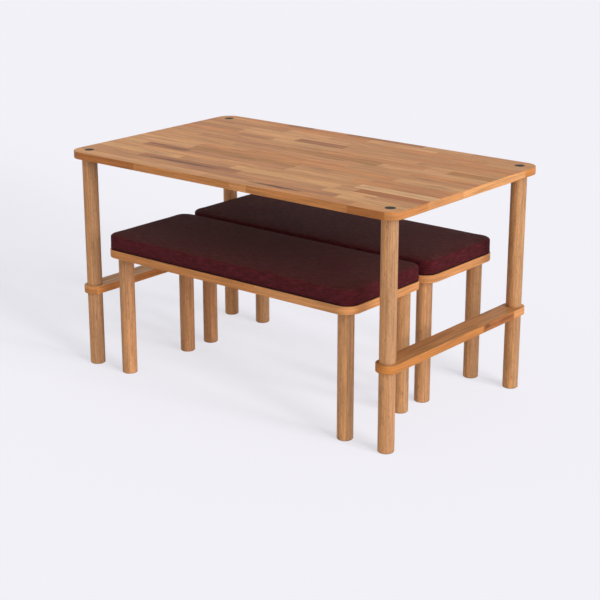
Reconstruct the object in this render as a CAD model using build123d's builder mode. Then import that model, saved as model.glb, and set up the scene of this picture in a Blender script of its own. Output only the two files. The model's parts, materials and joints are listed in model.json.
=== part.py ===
from build123d import *
import math
import os

# Dining table with two upholstered benches that slide under its top from the front and the rear.
# The origin is on the floor, under the middle of the tabletop. X runs along the table, Y from the
# front bench to the rear one, and Z up. Sizes are in millimetres.

# Tabletop
table_length = 1310.0
table_depth = 785.0
table_height = 736.0
tabletop_thickness = 24.0

# Round legs, the same rod for the table and the benches
leg_diameter = 50.0
edge_overhang = 25.0
foot_chamfer = 2.5

# Stretchers, one across each end of the table, clamped between the two lengths of each leg
stretcher_top = 278.0
stretcher_thickness = 25.0
stretcher_lip = 10.0

# Every board has its edges broken by the same small round
board_edge_radius = 1.2

# Benches, parked side by side under the top and between the table's legs
bench_side_gap = 77.0
bench_gap = 18.0
bench_setback = 1.5
bench_board_thickness = 25.0
seat_height = 482.0

# Seat cushions
cushion_thickness = 52.0
cushion_crown = 3.0
cushion_edge_roll = 10.5
cushion_foot_inset = 3.0
cushion_side_bow = 1.5
cover_cloth = 1.4
base_cloth = 1.2
foam_gap = 0.3

# Threaded fasteners
bolt_diameter = 8.0
bolt_head_rim = 3.5
bolt_head_height = 4.5
socket_share = 0.62
socket_depth = 2.6
bolt_tip_chamfer = 0.9
washer_rim = 5.0
washer_thickness = 1.6
shank_gap = 0.5
thread_gap = 0.1
thread_engagement = 20.0
tip_room = 6.0
board_bolt_recess = 1.0

# Threaded inserts, glued into the end grain of the legs
insert_wall = 3.2
insert_length = 24.0
insert_groove_depth = 0.8
insert_groove_width = 2.0
insert_groove_count = 4
insert_seat_gap = 0.1

# Flush caps over the tabletop's bolts
cap_rim = 3.5
cap_thickness = 2.5
cap_gap = 0.15
cap_edge_chamfer = 0.4
cap_underside_dish = 0.6

# Glides pressed into the feet
glide_rim = 15.0
glide_recess = 3.0
glide_proud = 1.0
glide_edge_round = 0.8
glide_peg_diameter = 6.0
glide_peg_length = 14.0
glide_gap = 0.2

# Depth by which a hidden cutting shape runs past the face that it opens
overrun = 1.0

# Steps in which the round parts of a cushion's wall and crown are drawn
roll_steps = 4
crown_steps = 4
wall_steps = 3
crown_run_share = 0.72


# Sizes that follow from the ones above

leg_radius = leg_diameter / 2
leg_inset = leg_radius + edge_overhang
tabletop_underside = table_height - tabletop_thickness
stretcher_underside = stretcher_top - stretcher_thickness
stretcher_width = leg_diameter + 2 * stretcher_lip
leg_spacing_x = table_length - 2 * leg_inset
leg_spacing_y = table_depth - 2 * leg_inset

bench_length = leg_spacing_x - leg_diameter - 2 * bench_side_gap
bench_depth = (table_depth - bench_gap) / 2 - bench_setback
bench_offset = (bench_depth + bench_gap) / 2
bench_top = seat_height - cushion_thickness
bench_underside = bench_top - bench_board_thickness
bench_leg_spacing_x = bench_length - 2 * leg_inset
bench_leg_spacing_y = bench_depth - 2 * leg_inset

bolt_head_diameter = bolt_diameter + 2 * bolt_head_rim
washer_diameter = bolt_head_diameter + 2 * washer_rim
shank_hole_diameter = bolt_diameter + 2 * shank_gap
cap_diameter = washer_diameter + 2 * cap_rim
cap_seat_depth = cap_thickness + bolt_head_height + washer_thickness
board_seat_depth = board_bolt_recess + bolt_head_height + washer_thickness

insert_bore = bolt_diameter + 2 * thread_gap
insert_diameter = insert_bore + 2 * insert_wall
insert_hole_diameter = insert_diameter + 2 * insert_seat_gap
insert_hole_depth = insert_length + tip_room

glide_diameter = glide_peg_diameter + 2 * glide_rim
glide_thickness = glide_recess + glide_proud


# Places

def leg_places(centre_y, spacing_x, spacing_y):
    """The four leg axes round a centre on the Y axis, by the corner that each one stands at."""
    places = {}
    for depth_name, depth_side in (("front", -1), ("rear", 1)):
        for length_name, length_side in (("left", -1), ("right", 1)):
            x = length_side * spacing_x / 2
            y = centre_y + depth_side * spacing_y / 2
            places[f"{depth_name}_{length_name}"] = (x, y)
    return places


def planes_at(places, height):
    """Level planes at one height, with their origins on the leg axes."""
    return [Plane(origin=(x, y, height)) for x, y in places.values()]


def keep(piece, name):
    """Labels a finished piece and writes it as its own file."""
    piece.label = name
    export_step(piece, f"parts/{name}.step")


# Boards

def build_board(centre_y, length, depth, underside, thickness, places, seat_diameter, seat_depth):
    """A board with corners concentric with its legs, drilled and counterbored over each leg."""
    with BuildPart() as board:
        with BuildSketch(Plane(origin=(0, centre_y, underside))):
            RectangleRounded(length, depth, leg_inset)
        extrude(amount=thickness)
        rims = board.edges().group_by(Axis.Z)
        fillet(rims[0] + rims[-1], board_edge_radius)
        with Locations(*planes_at(places, underside + thickness)):
            CounterBoreHole(shank_hole_diameter / 2, seat_diameter / 2, seat_depth)
    return board.part


def build_stretcher(centre_x):
    """A flat bar with full round ends, each concentric with the leg that it is clamped in."""
    leg_axes = {"front": (centre_x, -leg_spacing_y / 2), "rear": (centre_x, leg_spacing_y / 2)}
    with BuildPart() as bar:
        with BuildSketch(Plane(origin=(centre_x, 0, stretcher_underside))):
            SlotCenterToCenter(leg_spacing_y, stretcher_width, rotation=90)
        extrude(amount=stretcher_thickness)
        rims = bar.edges().group_by(Axis.Z)
        fillet(rims[0] + rims[-1], board_edge_radius)
        with Locations(*planes_at(leg_axes, stretcher_top)):
            Hole(shank_hole_diameter / 2)
    return bar.part


# Legs

def build_plain_leg(place, low, high):
    """A length of rod with an insert hole in each end."""
    x, y = place
    with BuildPart() as leg:
        with BuildSketch(Plane(origin=(x, y, low))):
            Circle(leg_radius)
        extrude(amount=high - low)
        with Locations(Plane(origin=(x, y, high)), Plane(origin=(x, y, low), z_dir=(0, 0, -1))):
            Hole(insert_hole_diameter / 2, insert_hole_depth)
    return leg.part


def build_foot_leg(place, high):
    """A length of rod that stands on the floor: insert hole on top, chamfer and glide seat below."""
    x, y = place
    with BuildPart() as leg:
        with BuildSketch(Plane(origin=(x, y, glide_proud))):
            Circle(leg_radius)
        extrude(amount=high - glide_proud)
        chamfer(leg.edges().group_by(Axis.Z)[0], foot_chamfer)
        with Locations(Plane(origin=(x, y, high))):
            Hole(insert_hole_diameter / 2, insert_hole_depth)
        with Locations(Plane(origin=(x, y, glide_proud), z_dir=(0, 0, -1))):
            CounterBoreHole(
                glide_peg_diameter / 2 + glide_gap,
                glide_diameter / 2 + glide_gap,
                glide_recess,
                glide_recess + glide_peg_length + tip_room,
            )
    return leg.part


# Fasteners, each kind a group of separate solids

def build_bolts(places, seat_height_z, shank_length):
    """Button bolts with a hexagon socket, their heads standing on the seat."""
    head_top = seat_height_z + bolt_head_height
    with BuildPart() as bolts:
        with BuildSketch(*planes_at(places, seat_height_z - shank_length)):
            Circle(bolt_diameter / 2)
        extrude(amount=shank_length)
        chamfer(bolts.edges().group_by(Axis.Z)[0], bolt_tip_chamfer)
        with BuildSketch(*planes_at(places, seat_height_z)):
            Circle(bolt_head_diameter / 2)
        extrude(amount=bolt_head_height)
        crowns = bolts.edges().group_by(Axis.Z)[-1]
        fillet(crowns, bolt_head_rim / 2)
        with BuildSketch(*planes_at(places, head_top)):
            RegularPolygon(socket_share * bolt_diameter / 2, 6, major_radius=False)
        extrude(amount=-socket_depth, mode=Mode.SUBTRACT)
    return bolts.part


def build_washers(places, underside):
    """Flat washers under the bolt heads."""
    with BuildPart() as washers:
        with BuildSketch(*planes_at(places, underside)):
            Circle(washer_diameter / 2)
            Circle(shank_hole_diameter / 2, mode=Mode.SUBTRACT)
        extrude(amount=washer_thickness)
    return washers.part


def build_inserts(places, low):
    """Threaded sleeves, grooved outside to hold the glue."""
    pitch = insert_length / (insert_groove_count + 1)
    with BuildPart() as inserts:
        with BuildSketch(*planes_at(places, low)):
            Circle(insert_diameter / 2)
            Circle(insert_bore / 2, mode=Mode.SUBTRACT)
        extrude(amount=insert_length)
        for groove in range(insert_groove_count):
            groove_low = low + (groove + 1) * pitch - insert_groove_width / 2
            with BuildSketch(*planes_at(places, groove_low)):
                Circle(insert_diameter / 2 + overrun)
                Circle(insert_diameter / 2 - insert_groove_depth, mode=Mode.SUBTRACT)
            extrude(amount=insert_groove_width, mode=Mode.SUBTRACT)
    return inserts.part


def build_studs(places):
    """Threaded studs that pass through the stretchers into the leg below and the leg above."""
    low = stretcher_underside - thread_engagement
    with BuildPart() as studs:
        with BuildSketch(*planes_at(places, low)):
            Circle(bolt_diameter / 2)
        extrude(amount=stretcher_thickness + 2 * thread_engagement)
        ends = studs.edges().group_by(Axis.Z)
        chamfer(ends[0] + ends[-1], bolt_tip_chamfer)
    return studs.part


def build_caps(places):
    """Flat discs that close the counterbores flush with the tabletop."""
    cap_low = table_height - cap_thickness
    with BuildPart() as caps:
        with BuildSketch(*planes_at(places, cap_low)):
            Circle(cap_diameter / 2)
        extrude(amount=cap_thickness)
        chamfer(caps.edges().group_by(Axis.Z)[-1], cap_edge_chamfer)
        with BuildSketch(*planes_at(places, cap_low)):
            Circle(washer_diameter / 2)
        extrude(amount=cap_underside_dish, mode=Mode.SUBTRACT)
    return caps.part


def build_glides(places):
    """Round glides, each with a peg in the leg and a low face that stands on the floor."""
    with BuildPart() as glides:
        with BuildSketch(*planes_at(places, 0)):
            Circle(glide_diameter / 2)
        extrude(amount=glide_thickness)
        fillet(glides.edges().group_by(Axis.Z)[0], glide_edge_round)
        with BuildSketch(*planes_at(places, glide_thickness)):
            Circle(glide_peg_diameter / 2)
        extrude(amount=glide_peg_length)
    return glides.part


# Cushions

def cushion_levels(skin):
    """Heights over the board and insets from its edge, up the wall and over the roll and crown.

    Skin is the depth under the cushion's outside at which the surface lies.
    """
    roll = cushion_edge_roll
    roll_foot = cushion_thickness - cushion_crown - roll
    crown_run = crown_run_share * (bench_depth / 2 - roll)
    levels = []
    for step in range(wall_steps):
        height_share = step / wall_steps
        inset = cushion_foot_inset * (1 - height_share) ** 2
        levels.append((height_share * roll_foot, inset + skin))
    for step in range(roll_steps + 1):
        turn = math.radians(90) * step / roll_steps
        height = roll_foot + (roll - skin) * math.sin(turn)
        levels.append((height, roll - (roll - skin) * math.cos(turn)))
    for step in range(1, crown_steps + 1):
        run_share = step / crown_steps
        rise = cushion_crown * (1 - (1 - run_share) ** 2)
        height = cushion_thickness - cushion_crown - skin + rise
        levels.append((height, roll + crown_run * run_share))
    return levels


def cushion_outline(centre_y, height, inset):
    """A closed outline whose sides are drawn in a little between round corners."""
    half_length = bench_length / 2 - inset
    half_depth = bench_depth / 2 - inset
    corner = leg_inset * half_depth / (bench_depth / 2)
    long_bow = cushion_side_bow
    short_bow = cushion_side_bow * bench_depth / bench_length
    diagonal = corner * (1 - math.sin(math.radians(45)))
    with BuildSketch(Plane(origin=(0, centre_y, height))) as outline:
        with BuildLine():
            for side in (-1, 1):
                start_x = half_length - corner
                start_y = half_depth - corner
                ThreePointArc(
                    (side * start_x, side * half_depth),
                    (0, side * (half_depth - long_bow)),
                    (-side * start_x, side * half_depth),
                )
                ThreePointArc(
                    (-side * start_x, side * half_depth),
                    (-side * (half_length - diagonal), side * (half_depth - diagonal)),
                    (-side * half_length, side * start_y),
                )
                ThreePointArc(
                    (-side * half_length, side * start_y),
                    (-side * (half_length - short_bow), 0),
                    (-side * half_length, -side * start_y),
                )
                ThreePointArc(
                    (-side * half_length, -side * start_y),
                    (-side * (half_length - diagonal), -side * (half_depth - diagonal)),
                    (-side * start_x, -side * half_depth),
                )
        make_face()
    return outline.sketch


def build_cover(centre_y):
    """The sewn cover: a cloth shell, open below, with drawn-in sides, a rolled edge and a crown."""
    outside = [
        cushion_outline(centre_y, bench_top + height, inset) for height, inset in cushion_levels(0)
    ]
    inside_levels = cushion_levels(cover_cloth)
    mouth = [(-overrun, inside_levels[0][1])]
    inside = [
        cushion_outline(centre_y, bench_top + height, inset) for height, inset in mouth + inside_levels
    ]
    with BuildPart() as cover:
        loft(outside, ruled=True)
        loft(inside, ruled=True, mode=Mode.SUBTRACT)
    return cover.part


def build_base_cloth(centre_y):
    """The flat cloth that closes the cover underneath."""
    inset = cushion_levels(cover_cloth + foam_gap)[0][1]
    with BuildPart() as cloth:
        add(cushion_outline(centre_y, bench_top, inset))
        extrude(amount=base_cloth)
    return cloth.part


def build_foam(centre_y):
    """The foam slab that fills the cover, on top of the base cloth."""
    levels = cushion_levels(cover_cloth + foam_gap)
    foot = [(base_cloth + foam_gap, levels[0][1])]
    sections = [
        cushion_outline(centre_y, bench_top + height, inset) for height, inset in foot + levels[1:]
    ]
    with BuildPart() as foam:
        loft(sections, ruled=True)
    return foam.part


# Table

os.makedirs("parts", exist_ok=True)

table_places = leg_places(0, leg_spacing_x, leg_spacing_y)

tabletop = build_board(
    0, table_length, table_depth, tabletop_underside, tabletop_thickness,
    table_places, cap_diameter + 2 * cap_gap, cap_seat_depth,
)
keep(tabletop, "tabletop")

for side_name, side in (("left", -1), ("right", 1)):
    keep(build_stretcher(side * leg_spacing_x / 2), f"stretcher_{side_name}")

for corner_name, place in table_places.items():
    keep(build_plain_leg(place, stretcher_top, tabletop_underside), f"upper_leg_{corner_name}")
    keep(build_foot_leg(place, stretcher_underside), f"lower_leg_{corner_name}")

bolt_seat = table_height - cap_seat_depth
bolt_reach = bolt_seat - tabletop_underside + thread_engagement
keep(build_washers(table_places, bolt_seat), "tabletop_washers")
keep(
    build_bolts(table_places, bolt_seat + washer_thickness, bolt_reach + washer_thickness),
    "tabletop_bolts",
)
keep(build_caps(table_places), "tabletop_caps")
keep(build_inserts(table_places, tabletop_underside - insert_length), "upper_leg_head_inserts")
keep(build_inserts(table_places, stretcher_top), "upper_leg_foot_inserts")
keep(build_inserts(table_places, stretcher_underside - insert_length), "lower_leg_inserts")
keep(build_studs(table_places), "stretcher_studs")
keep(build_glides(table_places), "table_glides")


# Benches

for bench_name, bench_side in (("front", -1), ("rear", 1)):
    centre_y = bench_side * bench_offset
    bench = f"bench_{bench_name}"
    places = leg_places(centre_y, bench_leg_spacing_x, bench_leg_spacing_y)
    board = build_board(
        centre_y, bench_length, bench_depth, bench_underside, bench_board_thickness,
        places, washer_diameter + 2 * cap_gap, board_seat_depth,
    )
    keep(board, f"{bench}_board")
    for corner_name, place in places.items():
        keep(build_foot_leg(place, bench_underside), f"{bench}_leg_{corner_name}")

    bolt_seat = bench_top - board_seat_depth
    bolt_reach = bolt_seat - bench_underside + thread_engagement
    keep(build_washers(places, bolt_seat), f"{bench}_washers")
    keep(
        build_bolts(places, bolt_seat + washer_thickness, bolt_reach + washer_thickness),
        f"{bench}_bolts",
    )
    keep(build_inserts(places, bench_underside - insert_length), f"{bench}_inserts")
    keep(build_glides(places), f"{bench}_glides")

    keep(build_cover(centre_y), f"cushion_{bench_name}_cover")
    keep(build_base_cloth(centre_y), f"cushion_{bench_name}_base_cloth")
    keep(build_foam(centre_y), f"cushion_{bench_name}_foam")
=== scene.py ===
# %% [markdown]
# A dining table with two upholstered benches
#
# The real set is a wooden table on round legs, with two low benches that park under its top and a
# flat cushion on each bench. The construction model already holds every piece of wood, metal and
# plastic at its true size, so those pieces stay as they are and get their finish here. Only the
# soft pieces are modelled again, because cloth over foam needs a mesh that can bend.

# %% Load the construction model
import bpy
import bmesh
import json
import math
import random
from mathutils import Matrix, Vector

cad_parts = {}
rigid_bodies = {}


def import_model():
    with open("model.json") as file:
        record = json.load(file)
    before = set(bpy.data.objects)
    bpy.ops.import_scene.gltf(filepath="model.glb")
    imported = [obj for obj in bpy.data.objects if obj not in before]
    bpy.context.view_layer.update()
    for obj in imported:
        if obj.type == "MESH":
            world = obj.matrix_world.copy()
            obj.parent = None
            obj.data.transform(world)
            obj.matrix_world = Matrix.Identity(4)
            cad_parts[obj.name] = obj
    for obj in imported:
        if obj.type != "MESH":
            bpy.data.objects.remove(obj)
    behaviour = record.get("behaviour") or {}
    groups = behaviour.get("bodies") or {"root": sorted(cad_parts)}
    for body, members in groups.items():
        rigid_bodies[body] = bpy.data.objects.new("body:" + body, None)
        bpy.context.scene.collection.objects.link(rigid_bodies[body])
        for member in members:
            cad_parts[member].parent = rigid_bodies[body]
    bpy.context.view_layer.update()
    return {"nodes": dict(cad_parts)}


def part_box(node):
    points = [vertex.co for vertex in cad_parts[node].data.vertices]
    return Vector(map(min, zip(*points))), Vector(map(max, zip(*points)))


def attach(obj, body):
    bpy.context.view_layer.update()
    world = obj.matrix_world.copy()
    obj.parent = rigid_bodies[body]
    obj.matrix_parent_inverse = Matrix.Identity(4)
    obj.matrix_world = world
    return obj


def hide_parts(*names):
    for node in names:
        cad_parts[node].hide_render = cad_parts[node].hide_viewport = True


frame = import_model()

nodes = frame["nodes"]

# %% [markdown]
# The camera
#
# The photograph looks down at the front right corner of the table through a long lens. The place,
# turn and tilt below put the table's corners and feet where the photograph has them. The lens stays
# unshifted, so that a camera that moves round the set keeps it in the middle of the frame.

# %% Camera
camera_place = (3.0304, -3.7162, 1.7957)
camera_turn = math.radians(39.18)
camera_tilt = math.radians(17.77)
camera_lens = 92.09

bpy.ops.object.select_all(action="DESELECT")
level = math.radians(90)
bpy.ops.object.camera_add(location=camera_place, rotation=(level - camera_tilt, 0, camera_turn))
camera = bpy.context.object
camera.name = "view_camera"
camera.data.lens = camera_lens
bpy.context.scene.camera = camera
print("camera:", [round(x, 3) for x in camera.location], "lens", camera.data.lens)

# %% [markdown]
# Shader maths in Python
#
# A finish is a net of nodes. Drawing dozens of Math nodes by name hides what they say, so one small
# class wraps an output of a node and turns a sum in Python into Math nodes. A second class holds
# the material and adds any other node: its settings first, then what goes into its sockets.

# %% Signals
class Signal:
    """One output of a node. Sums and products of signals add Math nodes."""

    def __init__(self, finish, socket):
        self.finish = finish
        self.socket = socket

    def __add__(self, other):
        return self.finish.maths("ADD", self, other)

    def __sub__(self, other):
        return self.finish.maths("SUBTRACT", self, other)

    def __rsub__(self, other):
        return self.finish.maths("SUBTRACT", other, self)

    def __mul__(self, other):
        return self.finish.maths("MULTIPLY", self, other)

    def __truediv__(self, other):
        return self.finish.maths("DIVIDE", self, other)

    def __gt__(self, other):
        return self.finish.maths("GREATER_THAN", self, other)

    def __lt__(self, other):
        return self.finish.maths("LESS_THAN", self, other)

    def __abs__(self):
        return self.finish.maths("ABSOLUTE", self)

    __radd__ = __add__
    __rmul__ = __mul__


# %% Finishes
class Finish:
    """A material, or a world, with one method that adds any node."""

    def __init__(self, owner):
        owner.use_nodes = True
        self.owner = owner
        self.tree = owner.node_tree

    def node(self, kind, settings, sockets, output=0):
        """Adds a node, sets it up, fills its sockets and gives one of its outputs."""
        made = self.tree.nodes.new(kind)
        for name, value in settings.items():
            if name == "stops":
                self.place_stops(made.color_ramp, value)
            elif name == "steps":
                made.color_ramp.interpolation = value
            else:
                setattr(made, name, value)
        for key, value in sockets.items():
            self.fill(made.inputs[key], value)
        return Signal(self, made.outputs[output])

    def fill(self, socket, value):
        """Links a signal to a socket, or sets the socket to a number, colour or vector."""
        if isinstance(value, Signal):
            self.tree.links.new(value.socket, socket)
        elif hasattr(value, "__len__") and len(value) < len(socket.default_value):
            socket.default_value = (*value, 1)
        else:
            socket.default_value = value

    def place_stops(self, ramp, stops):
        """Gives a ramp its stops, each a place from 0 to 1 and a colour."""
        while len(ramp.elements) > 1:
            ramp.elements.remove(ramp.elements[-1])
        for index, (place, colour) in enumerate(stops):
            element = ramp.elements[0] if index == 0 else ramp.elements.new(place)
            element.position = place
            element.color = (*colour, 1) if len(colour) == 3 else colour

    def maths(self, operation, *values):
        """One Math node on numbers or signals."""
        return self.node("ShaderNodeMath", {"operation": operation}, dict(enumerate(values)))

    def vector(self, x, y, z):
        """Three numbers or signals as one vector."""
        return self.node("ShaderNodeCombineXYZ", {}, {0: x, 1: y, 2: z})

    def split(self, vector):
        """The three parts of a vector, as three signals."""
        parts = self.node("ShaderNodeSeparateXYZ", {}, {0: vector}).socket.node
        return [Signal(self, socket) for socket in parts.outputs]

    def blend(self, amount, first, second):
        """The first colour where the amount is 0, and the second where it is 1."""
        return self.node(
            "ShaderNodeMix", {"data_type": "RGBA"}, {0: amount, 6: first, 7: second}, output=2
        )

    def shade(self, colour, amount):
        """A colour made lighter or darker by an amount round 1."""
        return self.node("ShaderNodeVectorMath", {"operation": "SCALE"}, {0: colour, 3: amount})

    def fade(self, value, low, high):
        """0 where the value is at low, 1 at high, with a soft step between them."""
        return self.node(
            "ShaderNodeMapRange",
            {"interpolation_type": "SMOOTHSTEP"},
            {0: value, 1: low, 2: high, 3: 0, 4: 1},
        )

    def clouds(self, where, detail=3, rough=0.55, warp=0.0):
        """Soft noise round 0.5, one blotch per unit of length."""
        return self.node(
            "ShaderNodeTexNoise",
            {"noise_dimensions": "3D"},
            {"Vector": where, "Scale": 1, "Detail": detail, "Roughness": rough, "Distortion": warp},
        )

    def finish_surface(self, colour, roughness, height=None, depth=0.0, **constants):
        """Feeds the shader, with a bump of some depth in metres where a height is given."""
        shader = self.tree.nodes["Principled BSDF"]
        self.fill(shader.inputs["Base Color"], colour)
        self.fill(shader.inputs["Roughness"], roughness)
        if height is not None:
            bump = self.node("ShaderNodeBump", {}, {"Height": height, "Distance": depth})
            self.fill(shader.inputs["Normal"], bump)
        for name, value in constants.items():
            self.fill(shader.inputs[name.replace("_", " ")], value)
        return self.owner


# %% Paints
def paint(red, green, blue):
    """A colour given as a paint chart gives it, from 0 to 255, as the shader takes it."""
    channels = (value / 255 for value in (red, green, blue))
    return tuple(c / 12.92 if c <= 0.04045 else ((c + 0.055) / 1.055) ** 2.4 for c in channels)


def new_finish(name):
    """A new material, ready for its nodes."""
    return Finish(bpy.data.materials.new(name))


def dress(name, material):
    """Gives a construction node its finish."""
    nodes[name].data.materials.clear()
    nodes[name].data.materials.append(material)


print("mid grey for the shader:", [round(channel, 3) for channel in paint(128, 128, 128)])

# %% [markdown]
# Light
#
# The photograph has a tall soft lamp on the right, a wide one in front, and a white room round
# them. An area lamp would leave the floor brighter near it, so two soft sun lamps, one above the
# other, stand for the tall lamp, a very soft one for the wide lamp, and a white world for the
# room. A bearing is an angle in degrees from the x axis, seen from above.

# %% Surround
backdrop = paint(242, 241, 247)
surround_strength = 0.60

world = Finish(bpy.data.worlds.new("studio_surround"))
bpy.context.scene.world = world.owner


def plain_view(finish):
    """1 where the camera, a mirror or glass looks straight at something, and 0 where light does."""
    path = finish.node("ShaderNodeLightPath", {}, {}).socket.node
    seen = Signal(finish, path.outputs["Is Camera Ray"])
    mirrored = Signal(finish, path.outputs["Is Glossy Ray"])
    through = Signal(finish, path.outputs["Is Transmission Ray"])
    return finish.maths("MAXIMUM", finish.maths("MAXIMUM", seen, mirrored), through)


surround = (surround_strength,) * 3
world_colour = world.blend(plain_view(world), surround, backdrop)
world.fill(world.tree.nodes["Background"].inputs["Color"], world_colour)
print("surround:", surround_strength, "backdrop:", [round(channel, 3) for channel in backdrop])

# %% Lamps
tall_strength = 3.0
tall_heights = (10, 28)
tall_bearing = -6
tall_softness = 48
wide_strength = 0.25
wide_height = 25
wide_bearing = -75
wide_softness = 70


def towards(height, bearing):
    """The direction in which a lamp stands, from its height and bearing in degrees."""
    flat = math.cos(math.radians(height))
    x = flat * math.cos(math.radians(bearing))
    y = flat * math.sin(math.radians(bearing))
    return Vector((x, y, math.sin(math.radians(height))))


def add_lamp(name, strength, height, bearing, softness):
    """Adds a sun lamp, as wide in the sky as its softness in degrees."""
    bpy.ops.object.select_all(action="DESELECT")
    bpy.ops.object.light_add(type="SUN", location=3 * towards(height, bearing))
    lamp = bpy.context.object
    lamp.name = name
    lamp.rotation_euler = (0, math.radians(90 - height), math.radians(bearing))
    lamp.data.energy = strength
    lamp.data.angle = math.radians(softness)
    return strength, towards(height, bearing)


lamps = [add_lamp("wide_lamp", wide_strength, wide_height, wide_bearing, wide_softness)]
for height in tall_heights:
    share = tall_strength / len(tall_heights)
    lamps.append(add_lamp(f"tall_lamp_{height}", share, height, tall_bearing, tall_softness))


def open_light(normal):
    """The strength of the lamps and the surround on a face that nothing shades."""
    direct = sum(strength * max(0, normal.dot(direction)) for strength, direction in lamps)
    return direct / math.pi + surround_strength * (1 + normal.z) / 2


print("light on a level face:", round(open_light(Vector((0, 0, 1))), 2))

# %% [markdown]
# Floor
#
# The set stands on a seamless pale floor that is the colour of the backdrop. It still has to show
# the shadows. In the photograph the feet have short dark ones on their left, while the broad shade
# under the table is faint, as a light does that comes in low and reaches the floor between the
# legs. Two low lamps that light nothing but the floor do this. For the camera the floor is mostly
# a plain colour, with a share of lit floor mixed in. For the light that bounces off it, it is an
# ordinary floor that sends back as much as a pale one would under the other lamps.

# %% Floor
floor_size = 80
floor_bounce = 0.67
shadow_share = 0.28
low_strength = 14
low_height = 7
low_bearings = (-16, 2)
low_softness = 15

bpy.ops.object.select_all(action="DESELECT")
bpy.ops.mesh.primitive_plane_add(size=floor_size, location=(0, 0, 0))
floor = bpy.context.object
floor.name = "studio_floor"

floor_only = bpy.data.collections.new("floor_only")
floor_only.objects.link(floor)
for bearing in low_bearings:
    name = f"low_lamp_{bearing}"
    lamps.append(add_lamp(name, low_strength, low_height, bearing, low_softness))
    bpy.data.objects[name].light_linking.receiver_collection = floor_only
floor_light = open_light(Vector((0, 0, 1)))

floor_finish = new_finish("pale_floor")
tree = floor_finish.tree
tree.nodes.remove(tree.nodes["Principled BSDF"])
lit_colour = tuple(channel / floor_light for channel in backdrop)
bounce_colour = (floor_bounce / floor_light,) * 3
lit = floor_finish.node("ShaderNodeBsdfDiffuse", {}, {"Color": lit_colour})
even = floor_finish.node("ShaderNodeEmission", {}, {"Color": backdrop, "Strength": 1})
seen_floor = floor_finish.node("ShaderNodeMixShader", {}, {0: shadow_share, 1: even, 2: lit})
bounce = floor_finish.node("ShaderNodeBsdfDiffuse", {}, {"Color": bounce_colour})
looked_at = plain_view(floor_finish)
whole = floor_finish.node("ShaderNodeMixShader", {}, {0: looked_at, 1: bounce, 2: seen_floor})
floor_finish.fill(tree.nodes["Material Output"].inputs["Surface"], whole)
floor.data.materials.append(floor_finish.owner)
print("floor:", floor_size, "metres wide, light on it", round(floor_light, 2))

# %% [markdown]
# Wood grain
#
# All the wood is the same oiled hardwood. Its grain is one solid pattern that is long in one
# direction and fine in the other two: broad bands of tone, fibres a few millimetres wide, short
# dark pores, and now and then a dark vein. Noise gives each of them, on places that are squeezed
# across the grain: a pair of numbers says how many of them come to a metre, along the grain and
# across it. The same function serves boards, edges and round legs.

# %% Grain
bands_per_metre = (3.4, 46)
fibres_per_metre = (8, 250)
pores_per_metre = (55, 1500)
veins_per_metre = (3.1, 75)
seed_shift = 9.7


def grain(finish, along, across, deep, seed):
    """The bands, fibres, pores and veins at a place given in metres along and across the grain.
    The seed, a number from 0 to 1, moves them, so that no two strips of wood look alike."""
    shifted = along + seed * seed_shift

    def place(per_metre, step):
        lengthwise, crosswise = per_metre
        across_here = across * crosswise + seed * step
        return finish.vector(shifted * lengthwise, across_here, deep * crosswise)

    bands = finish.clouds(place(bands_per_metre, 31), detail=3, warp=0.8)
    fibres = finish.clouds(place(fibres_per_metre, 17), detail=4, rough=0.66)
    pores = finish.fade(finish.clouds(place(pores_per_metre, 0), detail=1), 0.60, 0.72)
    veins = finish.fade(finish.clouds(place(veins_per_metre, 53), detail=2, warp=0.4), 0.62, 0.76)
    return bands, fibres, pores, veins


print("bands of the grain:", round(1000 / bands_per_metre[1]), "mm wide")

# %% Oiled wood
band_depth = 0.95
fibre_depth = 1.6
pore_depth = 0.22
vein_depth = 0.7
vein_tone = 0.5
oiled_roughness = 0.52
grain_relief = 0.00012


def wood_surface(finish, colour, marks, contrast=1.0, gloss=0.2):
    """Works the grain's marks into a colour and feeds the shader."""
    bands, fibres, pores, veins = marks
    band_tone = (bands - 0.5) * (band_depth * contrast)
    fibre_tone = (fibres - 0.5) * (fibre_depth * contrast)
    toned = finish.shade(colour, 1 + band_tone + fibre_tone - pores * pore_depth)
    vein_colour = finish.shade(toned, vein_tone)
    veined = finish.blend(veins * (vein_depth * contrast), toned, vein_colour)
    roughness = oiled_roughness + (fibres - 0.5) * 0.14 + pores * 0.1
    height = fibres * 0.7 - pores
    return finish.finish_surface(veined, roughness, height, grain_relief, Specular_IOR_Level=gloss)


print("relief of the grain:", round(1000 * grain_relief, 2), "mm")

# %% [markdown]
# Boards glued up from staves
#
# The tabletop, the bench boards and the stretchers are glued up from staves: rows of short strips
# of wood, each with its own tone. The mesh has no faces for them, so the finish has to know where
# each stave starts. A colour ramp with hard steps is a cheap way to write one row of them: each
# stop is the start of a stave and holds its colour, and the fourth channel holds a number that
# shifts the grain, so that it breaks off at the joint. The rows are then picked by their place
# across the board.

# %% Tones of the staves
tones = {
    "honey": paint(187, 131, 79),
    "tan": paint(182, 127, 78),
    "amber": paint(184, 122, 69),
    "light": paint(195, 140, 89),
    "pale": paint(198, 145, 91),
    "cream": paint(208, 160, 109),
    "khaki": paint(167, 113, 58),
    "grey": paint(172, 116, 71),
    "brown": paint(156, 100, 57),
    "red": paint(160, 96, 45),
}
common_tones = ["honey", "honey", "honey", "tan", "tan", "amber", "amber", "light"]
shortest_stave = 0.17
longest_stave = 0.46
shade_range = (0.93, 1.01)
print("tones of the staves:", len(tones))


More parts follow.
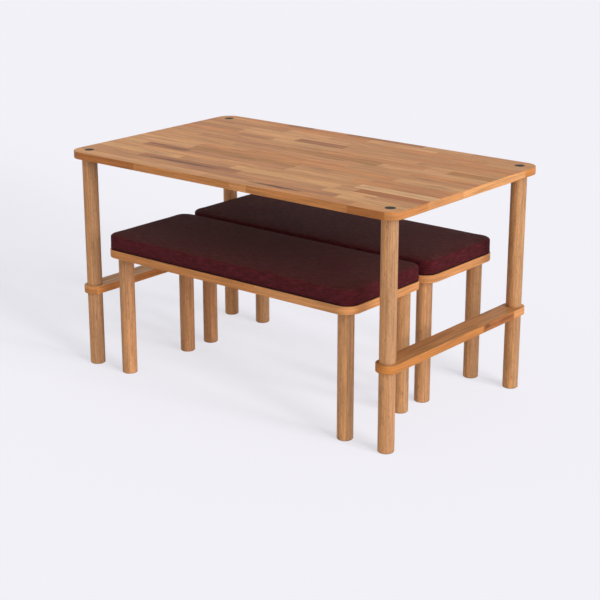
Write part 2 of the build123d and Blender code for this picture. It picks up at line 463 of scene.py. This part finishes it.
# %% Rows of staves
def fill_row(start, end, chosen, draw):
    """The staves of a row, as (start, tone): the chosen ones, with likely ones between them."""
    staves = []
    place = start
    for first, last, tone in [*chosen, (end, end, None)]:
        while place < first:
            staves.append((place, draw.choice(common_tones)))
            place += draw.uniform(shortest_stave, longest_stave)
            if first - place < shortest_stave / 2:
                place = first
        if tone:
            staves.append((first, tone))
            place = last
    return staves


def row_ramp(finish, share, row, start, end, draw):
    """One row of staves as a ramp of hard steps, read at a share of the board's length."""
    stops = []
    for place, tone in row:
        shade = draw.uniform(*shade_range)
        colour = [channel * shade for channel in tones[tone]]
        stops.append(((place - start) / (end - start), (*colour, draw.random())))
    ramp = {"steps": "CONSTANT", "stops": stops}
    colour = finish.node("ShaderNodeValToRGB", ramp, {0: share})
    return colour, Signal(finish, colour.socket.node.outputs["Alpha"])


# %% [markdown]
# The edge of a board
#
# On the real boards the edge shows long grain all the way round, also round the corners and across
# the ends. The sum of x and y grows steadily along every side of a board, so it serves as the
# place along the edge, and height is the place across it. Faces that look sideways take this
# grain, and level faces take the staves.

# %% Tones and figures of an edge
edge_tones = {
    "plain": paint(183, 120, 67),
    "light": paint(196, 134, 82),
    "bright": paint(209, 147, 92),
    "gold": paint(206, 134, 74),
    "orange": paint(180, 114, 55),
    "deep": paint(168, 103, 51),
    "dark": paint(160, 98, 48),
    "brown": paint(153, 91, 44),
}
rags_per_metre = (30, 240)
raggedness = 2.2
print("tones of the edges:", len(edge_tones))


def draw_figures(finish, colour, along, across, figures):
    """Works figures into a colour: long soft patches, darker or lighter, with ragged ends."""
    rag_place = finish.vector(along * rags_per_metre[0], across * rags_per_metre[1], 2.0)
    ragged = finish.clouds(rag_place, detail=3) - 0.5
    for middle, line, half_length, half_width, depth in figures:
        length_share = (along - middle) / half_length
        width_share = (across - line) / half_width
        reach = length_share * length_share + width_share * width_share + ragged * raggedness
        colour = finish.shade(colour, 1 - finish.fade(reach, 1.1, 0.2) * depth)
    return colour


# %% Board finish
edge_slope = 0.7
edge_calm = 0.15


def board_finish(
    name, node, grain_axis, first_line, stave_width, chosen, edge_joints, seed,
    figures=(), edge_figures=(),
):
    """The finish of a glued board. The chosen staves are kept by their row, counted from the
    board's low side. The edge joints are places along x + y where a new tone starts, and the
    first of them lies at or before the start of the edge."""
    finish = new_finish(name)
    draw = random.Random(seed)
    low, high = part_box(node)
    cross_axis = 1 - grain_axis
    place = finish.node("ShaderNodeTexCoord", {}, {}, output=3)
    parts = finish.split(place)
    along, across, level_place = parts[grain_axis], parts[cross_axis], parts[2]

    share = (along - low[grain_axis]) / (high[grain_axis] - low[grain_axis])
    row_count = math.ceil((high[cross_axis] - first_line) / stave_width) + 1
    row_number = finish.maths("FLOOR", (across - first_line) / stave_width) + 1
    colour = None
    for index in range(row_count):
        row = fill_row(low[grain_axis], high[grain_axis], chosen.get(index, []), draw)
        row_colour, row_seed = row_ramp(
            finish, share, row, low[grain_axis], high[grain_axis], draw
        )
        if colour is None:
            colour, stave_seed = row_colour, row_seed
            continue
        in_row = row_number > index - 0.5
        colour = finish.blend(in_row, colour, row_colour)
        stave_seed = stave_seed + in_row * (row_seed - stave_seed)

    colour = draw_figures(finish, colour, along, across, figures)

    normal = finish.node("ShaderNodeTexCoord", {}, {}, output=1)
    sideways = abs(finish.split(normal)[2]) < edge_slope
    run = along + across
    run_ends = (low[0] + low[1], high[0] + high[1])
    run_share = (run - run_ends[0]) / (run_ends[1] - run_ends[0])
    stops = []
    for joint, tone in edge_joints:
        stop = max(0, (joint - run_ends[0]) / (run_ends[1] - run_ends[0]))
        stops.append((stop, (*edge_tones[tone], draw.random())))
    edge = {"steps": "CONSTANT", "stops": stops}
    edge_colour = finish.node("ShaderNodeValToRGB", edge, {0: run_share})
    edge_seed = Signal(finish, edge_colour.socket.node.outputs["Alpha"])
    edge_colour = draw_figures(finish, edge_colour, run, level_place, edge_figures)

    colour = finish.blend(sideways, colour, edge_colour)
    seed_here = stave_seed + sideways * (edge_seed - stave_seed)
    along_here = along + sideways * (run - along)
    across_here = across + sideways * (level_place - across)
    marks = grain(finish, along_here, across_here, level_place * (1 - sideways), seed_here)
    return wood_surface(finish, colour, marks, contrast=1 - sideways * edge_calm)


# %% [markdown]
# The tabletop
#
# The rows run along the table. Most staves are close in tone, and a few dark, grey and pale ones
# stand out, so those are listed, in metres from the middle of the table, and the others are drawn
# by chance from a fixed seed. A few dark figures in the grain are listed too, each with its middle
# along and across the table, its half length, its half width and how dark it is.

# %% Tabletop
top_first_line = -0.345
top_stave_width = 0.04425
top_staves = {
    0: [(-0.655, -0.080, "light")],
    1: [(-0.655, -0.220, "tan"), (-0.220, 0.403, "grey"), (0.403, 0.655, "pale")],
    2: [(-0.434, -0.020, "brown"), (-0.020, 0.320, "tan"), (0.320, 0.500, "pale")],
    3: [(-0.655, -0.300, "pale"), (-0.080, 0.337, "pale"), (0.407, 0.655, "red")],
    4: [(-0.655, -0.170, "honey"), (-0.020, 0.374, "honey"), (0.374, 0.655, "cream")],
    5: [(-0.655, -0.542, "pale"), (-0.542, -0.347, "brown"), (-0.347, 0.070, "grey")],
    6: [(-0.655, -0.376, "light"), (-0.376, 0.070, "khaki"), (0.370, 0.655, "amber")],
    7: [(-0.655, -0.380, "light"), (0.050, 0.416, "amber"), (0.416, 0.655, "pale")],
    8: [(-0.655, -0.200, "honey"), (-0.200, 0.190, "amber"), (0.190, 0.655, "tan")],
    9: [(-0.300, 0.220, "tan"), (0.220, 0.410, "honey")],
    10: [(-0.501, -0.120, "grey"), (-0.120, 0.157, "khaki"), (0.157, 0.257, "khaki")],
    11: [(0.491, 0.655, "khaki")],
    12: [(-0.395, -0.255, "grey"), (-0.255, 0.028, "pale")],
    13: [(-0.655, -0.430, "grey"), (-0.430, -0.184, "light"), (-0.184, 0.024, "brown")],
    14: [(-0.430, -0.200, "light"), (0.000, 0.430, "honey")],
    15: [(-0.655, -0.301, "grey"), (-0.301, -0.110, "light")],
    16: [(0.020, 0.300, "light")],
    17: [(-0.363, -0.247, "brown"), (-0.101, 0.216, "brown")],
}
top_figures = [
    (0.195, -0.351, 0.120, 0.010, 0.78),
    (-0.240, -0.287, 0.180, 0.010, 0.58),
    (-0.395, -0.150, 0.060, 0.016, 0.36),
    (-0.480, -0.138, 0.060, 0.008, 0.25),
    (0.080, 0.050, 0.090, 0.006, 0.40),
    (0.488, -0.283, 0.026, 0.008, 0.40),
    (0.575, -0.055, 0.055, 0.009, 0.30),
]
# Along x + y the front edge ends near 0.265 and the right edge follows. Its light and bright tones
# are partly the wood's and partly painted light for the side that the lamps light most.
top_edge_joints = [
    (-1.1, "deep"), (-0.75, "plain"), (-0.35, "light"), (-0.28, "plain"), (0.0945, "dark"),
    (0.225, "plain"), (0.42, "light"), (0.60, "bright"), (0.944, "orange"),
]
top_finish = board_finish(
    "oiled_tabletop", "tabletop", 0, top_first_line, top_stave_width, top_staves,
    top_edge_joints, seed=4, figures=top_figures,
)
dress("tabletop", top_finish)
print("tabletop nodes:", len(top_finish.node_tree.nodes))

# %% [markdown]
# Stretchers and bench boards
#
# They are made of the same staves. A stretcher is little wider than one stave, so its rows are
# few and its grain runs from front to rear. The right one, whose edge is in full view, has two
# dark figures in that edge and a pale one between them.

# %% Stretchers
# The left stretcher, under the table, has paler staves than the right: partly the wood's tone and
# partly painted light for light that reaches in under the table.
stretcher_staves = {
    "left": {
        0: [(-0.38, 0.02, "pale"), (0.02, 0.38, "cream")],
        1: [(-0.38, -0.10, "cream"), (-0.10, 0.24, "pale"), (0.24, 0.38, "cream")],
    },
    "right": {
        0: [(-0.38, 0.02, "grey"), (0.02, 0.38, "tan")],
        1: [(-0.38, 0.10, "tan"), (0.10, 0.33, "honey"), (0.33, 0.38, "light")],
    },
}
stretcher_joints = {
    "left": [(-0.50, "plain"), (-0.37, "gold"), (-0.05, "plain"), (0.24, "light")],
    "right": [(-0.39, "orange"), (0.111, "brown"), (0.290, "light")],
}
stretcher_figures = {
    "left": [],
    "right": [
        (0.132, 0.271, 0.020, 0.008, 0.50),
        (0.245, 0.267, 0.050, 0.007, 0.40),
        (0.160, 0.257, 0.045, 0.005, -0.35),
    ],
}
for side, seed in (("left", 11), ("right", 12)):
    name = f"stretcher_{side}"
    low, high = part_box(name)
    middle_line = (low[0] + high[0]) / 2
    joints = [(high[0] + joint, tone) for joint, tone in stretcher_joints[side]]
    figures = [(high[0] + place, *rest) for place, *rest in stretcher_figures[side]]
    material = board_finish(
        f"oiled_{name}", name, 1, middle_line, high[0] - low[0], stretcher_staves[side],
        joints, seed, edge_figures=figures,
    )
    dress(name, material)
    print(name, "nodes:", len(material.node_tree.nodes))

# %% Bench boards
bench_edge_joints = [(-1.1, "plain"), (-0.25, "light"), (0.02, "light")]
for place, seed in (("front", 21), ("rear", 22)):
    name = f"bench_{place}_board"
    low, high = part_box(name)
    first_line = low[1] + top_stave_width / 2
    material = board_finish(
        f"oiled_bench_board_{place}", name, 0, first_line, top_stave_width, {},
        bench_edge_joints, seed,
    )
    dress(name, material)
print("boards dressed:", sum(made.name.startswith("oiled") for made in bpy.data.materials))

# %% [markdown]
# Round legs
#
# Each leg is turned from two strips glued side by side, so a fine line runs down it, with a tan
# strip on one side and a pinker or greyer one on the other. The finish measures places from the
# leg's own axis. The sign of the distance from the glue plane tells which strip a place is in.
# Noise adds soft dark knots, short dark checks and fine flecks, which follow the leg's length: a
# pair of numbers says how many of them come to a metre, across the leg and along it. Three legs
# have a pale strip on their right instead, partly the wood's own tone and partly painted light for
# a right side that the lamps light more.

# %% Tones and marks of the legs
warm_strips = [paint(190, 137, 90), paint(187, 133, 84), paint(185, 131, 83)]
cool_strips = [paint(174, 125, 85), paint(170, 124, 85), paint(176, 129, 87)]
# The pale right strip is partly the wood's tone and partly painted light for a lit right side.
brown_strip = paint(178, 126, 82)
pale_and_painted_lit_strip = paint(194, 138, 92)
pale_and_painted_lit_right = [
    "bench_front_leg_front_left", "bench_front_leg_rear_left", "bench_rear_leg_front_left",
]
knots_per_metre = (60, 11)
checks_per_metre = (230, 42)
flecks_per_metre = (330, 75)
knot_depth = 0.32
check_depth = 0.42
glue_line_depth = 0.35
glue_line_half_width = 0.0005
fleck_depth = 0.55
painted_foot_shade_depth = 0.22
plane_swing = 14
plane_offset = 0.004
print("legs with the pale strip on their right:", len(pale_and_painted_lit_right))


# %% Leg finish
def leg_finish(node, seed):
    """The finish of one round leg, with its own glue plane, tones and marks."""
    finish = new_finish(f"oiled_{node}")
    draw = random.Random(seed)
    low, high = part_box(node)
    x, y, z = finish.split(finish.node("ShaderNodeTexCoord", {}, {}, output=3))
    x = x - (low[0] + high[0]) / 2
    y = y - (low[1] + high[1]) / 2

    plane_turn = camera_turn + math.radians(draw.uniform(-plane_swing, plane_swing))
    axis_distance = x * math.cos(plane_turn) + y * math.sin(plane_turn)
    glue_distance = axis_distance + draw.uniform(-plane_offset, plane_offset)
    right_strip = glue_distance > 0
    glue_line = abs(glue_distance) < glue_line_half_width
    left_tone, right_tone = draw.choice(warm_strips), draw.choice(cool_strips)
    if node in pale_and_painted_lit_right:
        left_tone, right_tone = brown_strip, pale_and_painted_lit_strip
    colour = finish.blend(right_strip, left_tone, right_tone)

    strip_seed = right_strip * 0.37 + draw.random()
    marks = grain(finish, z, x, y, strip_seed)

    def blotches(per_metre, detail):
        crosswise, lengthwise = per_metre
        start = draw.uniform(0, 50)
        where = finish.vector(x * crosswise, y * crosswise, z * lengthwise + start)
        return finish.clouds(where, detail=detail)

    knots = finish.fade(blotches(knots_per_metre, 3), 0.58, 0.78)
    checks = finish.fade(blotches(checks_per_metre, 2), 0.60, 0.74)
    flecks = blotches(flecks_per_metre, 2) - 0.5
    # Painted contact shade: the lowest 6 mm of the leg are darkened towards the floor.
    foot = finish.fade(z, low[2] + 0.006, low[2] + 0.0015)
    fine_dark = finish.maths("MAXIMUM", checks * check_depth, glue_line * glue_line_depth)
    dark = fine_dark + knots * knot_depth
    colour = finish.shade(colour, 1.02 - dark - foot * painted_foot_shade_depth + flecks * fleck_depth)
    return wood_surface(finish, colour, marks, contrast=0.85, gloss=0.36)


# %% Legs
leg_names = sorted(name for name in nodes if "_leg_" in name and "insert" not in name)
for index, name in enumerate(leg_names):
    dress(name, leg_finish(name, 100 + index))
print("legs:", len(leg_names))

# %% [markdown]
# Metal and plastic
#
# The caps in the tabletop are blackened steel discs, turned on a lathe, so they have faint rings.
# Bolts, washers and studs are zinc plated, with a mottled grey. The inserts are brass and the
# glides are dark moulded plastic with a fine grain. Rings need the distance from the middle of
# a disc, and the absolute values of x and y fold all four corners of the table into one.

# %% Caps
cap_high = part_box("tabletop_caps")[1]
cap_radius = 0.016
ring_turns = 9000
cap_mottle = 260
cap_relief = 0.00004

cap_finish = new_finish("blackened_steel")
x, y, z = cap_finish.split(cap_finish.node("ShaderNodeTexCoord", {}, {}, output=3))
from_middle_x = abs(x) - (cap_high[0] - cap_radius)
from_middle_y = abs(y) - (cap_high[1] - cap_radius)
squares = from_middle_x * from_middle_x + from_middle_y * from_middle_y
rings = cap_finish.maths("SINE", cap_finish.maths("SQRT", squares) * ring_turns)
mottle_place = cap_finish.vector(x * cap_mottle, y * cap_mottle, z * cap_mottle)
mottle = cap_finish.clouds(mottle_place, detail=4)
cap_colour = cap_finish.blend(mottle, paint(30, 36, 33), paint(46, 52, 48))
dress("tabletop_caps", cap_finish.finish_surface(
    cap_colour, 0.6 + mottle * 0.12, rings * 0.5 + mottle, cap_relief, Specular_IOR_Level=0.12
))
print("cap rings:", round(1000 * 2 * math.pi / ring_turns, 2), "mm apart")


# %% Hidden fittings
def mottled_finish(name, dark, pale, scale, roughness, metallic, depth):
    """A plain material with fine mottling, for plated metal and moulded plastic."""
    finish = new_finish(name)
    x, y, z = finish.split(finish.node("ShaderNodeTexCoord", {}, {}, output=3))
    mottle = finish.clouds(finish.vector(x * scale, y * scale, z * scale), detail=4, rough=0.6)
    colour = finish.blend(finish.fade(mottle, 0.35, 0.65), dark, pale)
    surface_roughness = roughness + (mottle - 0.5) * 0.2
    return finish.finish_surface(colour, surface_roughness, mottle, depth, Metallic=metallic)


zinc = mottled_finish(
    "zinc_plate", paint(150, 152, 156), paint(196, 198, 202),
    scale=420, roughness=0.36, metallic=1.0, depth=0.00002,
)
brass = mottled_finish(
    "brass", paint(176, 138, 74), paint(208, 172, 100),
    scale=380, roughness=0.34, metallic=1.0, depth=0.00002,
)
plastic = mottled_finish(
    "glide_plastic", paint(38, 36, 35), paint(52, 50, 48),
    scale=900, roughness=0.55, metallic=0.0, depth=0.00006,
)
fitting_finishes = {
    "_bolts": zinc, "_washers": zinc, "_studs": zinc, "_inserts": brass, "_glides": plastic,
}
for ending, material in fitting_finishes.items():
    fittings = [name for name in nodes if name.endswith(ending)]
    for name in fittings:
        dress(name, material)
    print(ending[1:], "dressed:", len(fittings))

# %% [markdown]
# The seat cushions
#
# A seat cushion here is a slab of firm foam in a sewn cover: flat on top, rolled over at the top
# edge, and drawn in at its foot, where the cover meets the base cloth. It could be modelled as
# a rounded box, but then its top is dead flat. Instead a slightly smaller box is bevelled, given
# an even skin of small faces, and blown up a little as cloth, with the foot held still. The cap on
# how far a point may move is what firm foam allows. Both cushions are alike, so one is made, and
# the other is a copy turned round.

# %% Cushion sizes
cover_low, cover_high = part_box("cushion_front_cover")
cloth_low, cloth_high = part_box("cushion_front_base_cloth")
swell = 0.0012
crown = 0.0026
corner_radius = 0.045
edge_roll = 0.0065
foot_roll = 0.0045
skin_size = 0.0060
foot_height = 0.004
cloth_moments = 20
near = 0.0001
seat_middle = (cover_low + cover_high) / 2
print("cover:", [round(1000 * x, 1) for x in cover_high - cover_low], "mm")


# %% Boxes and bevels
def add_box(name, low, high):
    """Adds a box between two corners, with nothing else selected."""
    bpy.ops.object.select_all(action="DESELECT")
    bpy.ops.mesh.primitive_cube_add(size=1, location=(low + high) / 2)
    box = bpy.context.object
    box.name = name
    box.scale = high - low
    bpy.ops.object.transform_apply(location=True, rotation=True, scale=True)
    return box


def select_edges(piece, wanted):
    """Enters edit mode with only the edges selected whose two ends pass the test."""
    bpy.ops.object.mode_set(mode="EDIT")
    bpy.ops.mesh.select_mode(type="EDGE")
    mesh = bmesh.from_edit_mesh(piece.data)
    for edge in mesh.edges:
        edge.select_set(wanted(edge.verts[0].co, edge.verts[1].co))
    mesh.select_flush_mode()
    bmesh.update_edit_mesh(piece.data)


def bevel_edges(piece, wanted, width, segments):
    """Rounds the edges that pass the test."""
    select_edges(piece, wanted)
    bpy.ops.mesh.bevel(offset=width, segments=segments, profile=0.5)
    bpy.ops.object.mode_set(mode="OBJECT")


def upright(a, b):
    """The test for edges that run up."""
    return abs(a.z - b.z) > near


def level_at(height):
    """A test for edges that lie at a height."""
    return lambda a, b: max(abs(a.z - height), abs(b.z - height)) < near


# %% Cushion blank
blank_low = Vector((cover_low.x + swell, cover_low.y + swell, cloth_high.z))
blank_high = Vector((cover_high.x - swell, cover_high.y - swell, cover_high.z - crown))
pad = add_box("cushion_pad", blank_low, blank_high)
bevel_edges(pad, upright, corner_radius, 10)
bevel_edges(pad, level_at(blank_high.z), edge_roll, 5)
bevel_edges(pad, level_at(blank_low.z), foot_roll, 3)
print("cushion blank:", len(pad.data.polygons), "faces")


# %% Cushion skin
def shape_skin(piece, base):
    """Gives a piece an even skin of small square faces, eases what steps it has, and presses
    what bulges below the base flat."""
    bpy.context.view_layer.objects.active = piece
    remesh = piece.modifiers.new("even_skin", "REMESH")
    remesh.mode = "VOXEL"
    remesh.voxel_size = skin_size
    remesh.use_smooth_shade = True
    bpy.ops.object.modifier_apply(modifier=remesh.name)
    ease = piece.modifiers.new("ease", "SMOOTH")
    ease.factor = 0.5
    ease.iterations = 2
    bpy.ops.object.modifier_apply(modifier=ease.name)
    for vertex in piece.data.vertices:
        vertex.co.z = max(base, vertex.co.z)


shape_skin(pad, cloth_high.z)
print("cushion skin:", len(pad.data.polygons), "faces")


# %% Blow up the cover
def blow_up(piece, base, cap):
    """Inflates a piece as cloth with its foot held, and lets no point move further than the cap."""
    held = piece.vertex_groups.new(name="sewn_foot")
    start = [vertex.co.copy() for vertex in piece.data.vertices]
    foot = [index for index, place in enumerate(start) if place.z < base + foot_height]
    held.add(foot, 1.0, "REPLACE")
    cloth = piece.modifiers.new("cover_cloth", "CLOTH")
    cloth.settings.quality = 6
    cloth.settings.mass = 0.3
    cloth.settings.tension_stiffness = 20
    cloth.settings.compression_stiffness = 20
    cloth.settings.shear_stiffness = 8
    cloth.settings.bending_stiffness = 2
    cloth.settings.use_pressure = True
    cloth.settings.uniform_pressure_force = 4
    cloth.settings.vertex_group_mass = held.name
    cloth.settings.effector_weights.gravity = 0
    cloth.collision_settings.use_self_collision = False
    for moment in range(1, cloth_moments + 1):
        bpy.context.scene.frame_set(moment)
    bpy.context.view_layer.objects.active = piece
    bpy.ops.object.modifier_apply(modifier=cloth.name)
    bpy.context.scene.frame_set(1)
    largest = 0
    for vertex, place in zip(piece.data.vertices, start):
        move = vertex.co - place
        largest = max(largest, move.length)
        if move.length > cap:
            move = move * (cap / move.length)
        vertex.co = place + move
        vertex.co.z = max(vertex.co.z, base)
    print("cloth moved up to", round(1000 * largest, 1), "mm")


blow_up(pad, cloth_high.z, crown)

# %% [markdown]
# Fabric
#
# The cover is a dark wine red cloth, woven from yarns that are each a little lighter, darker or
# more purple than the next. Two sets of yarns cross at right angles. Sine waves give their round
# backs, and noise that is long in one direction gives every yarn its own tone. On level faces the
# yarns follow x and y, and on upright ones they follow the edge and the height. The seat is painted
# a little browner and greyer than the sides, in soft patches: a painted sheen for the light that
# glances off the top.

# %% Weave
tone_changes = 40
steep_slope = 0.6
end_slope = 0.7


def woven(finish, pitch):
    """Two crossing sets of yarns: their height, a tone for each yarn, and the place on the cloth.
    A yarn changes its tone slowly along its length, some dozens of times in a metre."""
    x, y, z = finish.split(finish.node("ShaderNodeTexCoord", {}, {}, output=3))
    normal = finish.split(finish.node("ShaderNodeTexCoord", {}, {}, output=1))
    steep = abs(normal[2]) < steep_slope
    end_face = abs(normal[0]) > end_slope
    side_run = x + end_face * (y - x)
    first = x + steep * (side_run - x)
    second = y + steep * (z - y)
    turns = 2 * math.pi / pitch
    warp_wave = finish.maths("SINE", first * turns)
    weft_wave = finish.maths("SINE", second * turns)
    half_step = finish.maths("SINE", (first + second) * (turns / 2))
    over = half_step > 0
    height = warp_wave * over + weft_wave * (1 - over)
    warp_tone = finish.clouds(finish.vector(first / pitch, second * tone_changes, 3.0), detail=3)
    weft_tone = finish.clouds(finish.vector(first * tone_changes, second / pitch, 9.0), detail=3)
    tone = warp_tone + over * (weft_tone - warp_tone)
    return height, tone, finish.vector(first, second, 0.0)


# %% Cover fabric
yarn_width = 0.0016
cover_relief = 0.00025
cover_dark = paint(52, 18, 21)
cover_red = paint(98, 26, 31)
cover_purple = paint(88, 29, 41)
painted_sheen_colour = paint(84, 57, 44)
slubs_per_metre = (32, 300)
sheen_patches_per_metre = 5
purple_share = 0.7
painted_sheen_share = 0.36


def cover_finish():
    """The wine red cloth, with slubs in its yarns and a painted sheen that makes the seat browner.
    """
    finish = new_finish("wine_red_cover")
    height, tone, place = woven(finish, yarn_width)
    fine = finish.fade(tone, 0.36, 0.64)
    colour = finish.blend(fine, cover_dark, cover_red)
    run, rise, _ = finish.split(place)
    slub_place = finish.vector(run * slubs_per_metre[0], rise * slubs_per_metre[1], 1.0)
    slubs = finish.clouds(slub_place, detail=3)
    colour = finish.blend(finish.fade(slubs, 0.46, 0.64) * purple_share, colour, cover_purple)
    # Painted sheen: level faces are blended in soft patches towards a browner grey, for light that
    # glances off the seat.
    normal = finish.split(finish.node("ShaderNodeTexCoord", {}, {}, output=1))
    sheen_patch_place = finish.vector(run * sheen_patches_per_metre, rise * sheen_patches_per_metre, 4.0)
    painted_sheen = finish.fade(normal[2], 0.68, 0.84) * finish.fade(finish.clouds(sheen_patch_place), 0.1, 0.6)
    colour = finish.blend(painted_sheen * painted_sheen_share, colour, painted_sheen_colour)
    # The height of the weave also darkens the colour where the yarns dip: painted shade in the
    # hollows of the weave.
    colour = finish.shade(colour, 0.90 + height * 0.14 + (slubs - 0.5) * 1.5)
    return finish.finish_surface(
        colour, 0.86 - fine * 0.08, height, cover_relief, Specular_IOR_Level=0.12,
    )


cover_material = cover_finish()
print("cover fabric nodes:", len(cover_material.node_tree.nodes))

# %% [markdown]
# Finish and place the cushions
#
# One subdivision rounds the skin. The finished form is copied for the second bench, with its own
# mesh, turned half round and moved over. Each pad stands for the cover and the foam inside it.

# %% Finish the pad
def place_copy(piece, name, centre, turned):
    """A copy of a piece with its own mesh, turned half round if asked, at a new centre."""
    copy = piece.copy()
    copy.data = piece.data.copy()
    copy.name = name
    bpy.context.scene.collection.objects.link(copy)
    sign = -1 if turned else 1
    for vertex in copy.data.vertices:
        away = vertex.co - seat_middle
        vertex.co = Vector((sign * away.x, sign * away.y, away.z)) + centre
    return copy


bpy.ops.object.select_all(action="DESELECT")
pad.select_set(True)
bpy.context.view_layer.objects.active = pad
rounding = pad.modifiers.new("rounding", "SUBSURF")
rounding.levels = 1
rounding.render_levels = 1
bpy.ops.object.modifier_apply(modifier=rounding.name)
bpy.ops.object.shade_smooth()
pad.vertex_groups.clear()
pad.data.materials.append(cover_material)

for place in ("front", "rear"):
    body = f"cushion_{place}"
    low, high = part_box(f"{body}_cover")
    cover = place_copy(pad, f"{body}_padded_cover", (low + high) / 2, turned=place == "rear")
    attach(cover, body)
    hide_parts(f"{body}_cover", f"{body}_foam")
    print(cover.name, len(cover.data.polygons), "faces")
bpy.data.objects.remove(pad)

# %% [markdown]
# The base cloth
#
# The underside of a cushion is a flat panel of plain hard-wearing cloth, sewn to the cover. It is
# seen when the cushion is lifted off. It starts as a thin slab, with its corners rounded like the
# cushion's, and a shallow hem is inset along its rim.

# %% Base cloth
base_yarn_width = 0.0012
base_relief = 0.00015
base_dark = paint(28, 20, 22)
base_pale = paint(46, 32, 35)
hem_width = 0.012
hem_depth = 0.0003

cloth_finish = new_finish("black_base_cloth")
height, tone, _ = woven(cloth_finish, base_yarn_width)
cloth_colour = cloth_finish.blend(cloth_finish.fade(tone, 0.35, 0.65), base_dark, base_pale)
# The height of the weave darkens the colour where the yarns dip: painted shade in the hollows of
# the weave.
cloth_colour = cloth_finish.shade(cloth_colour, 0.9 + height * 0.1)
cloth_finish.finish_surface(cloth_colour, 0.85, height, base_relief, Specular_IOR_Level=0.15)

cloth = add_box("base_cloth", cloth_low, cloth_high)
bevel_edges(cloth, upright, corner_radius - foot_roll, 10)
bpy.ops.object.mode_set(mode="EDIT")
bpy.ops.mesh.select_mode(type="FACE")
mesh = bmesh.from_edit_mesh(cloth.data)
for face in mesh.faces:
    face.select_set(face.normal.z < -0.9)
bmesh.update_edit_mesh(cloth.data)
bpy.ops.mesh.inset(thickness=hem_width, depth=0)
bpy.ops.mesh.inset(thickness=hem_depth, depth=-hem_depth)
bpy.ops.object.mode_set(mode="OBJECT")
cloth.data.materials.append(cloth_finish.owner)
print("base cloth:", len(cloth.data.polygons), "faces")

# %% Place the base cloths
for place in ("front", "rear"):
    body = f"cushion_{place}"
    low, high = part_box(f"{body}_base_cloth")
    offset = (low + high) / 2 - (cloth_low + cloth_high) / 2
    panel = place_copy(cloth, f"{body}_underside", seat_middle + offset, turned=place == "rear")
    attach(panel, body)
    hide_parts(f"{body}_base_cloth")
bpy.data.objects.remove(cloth)

# %% [markdown]
# View settings
#
# The Standard view shows colours as they are written.

# %% Finish
bpy.context.scene.view_settings.view_transform = "Standard"
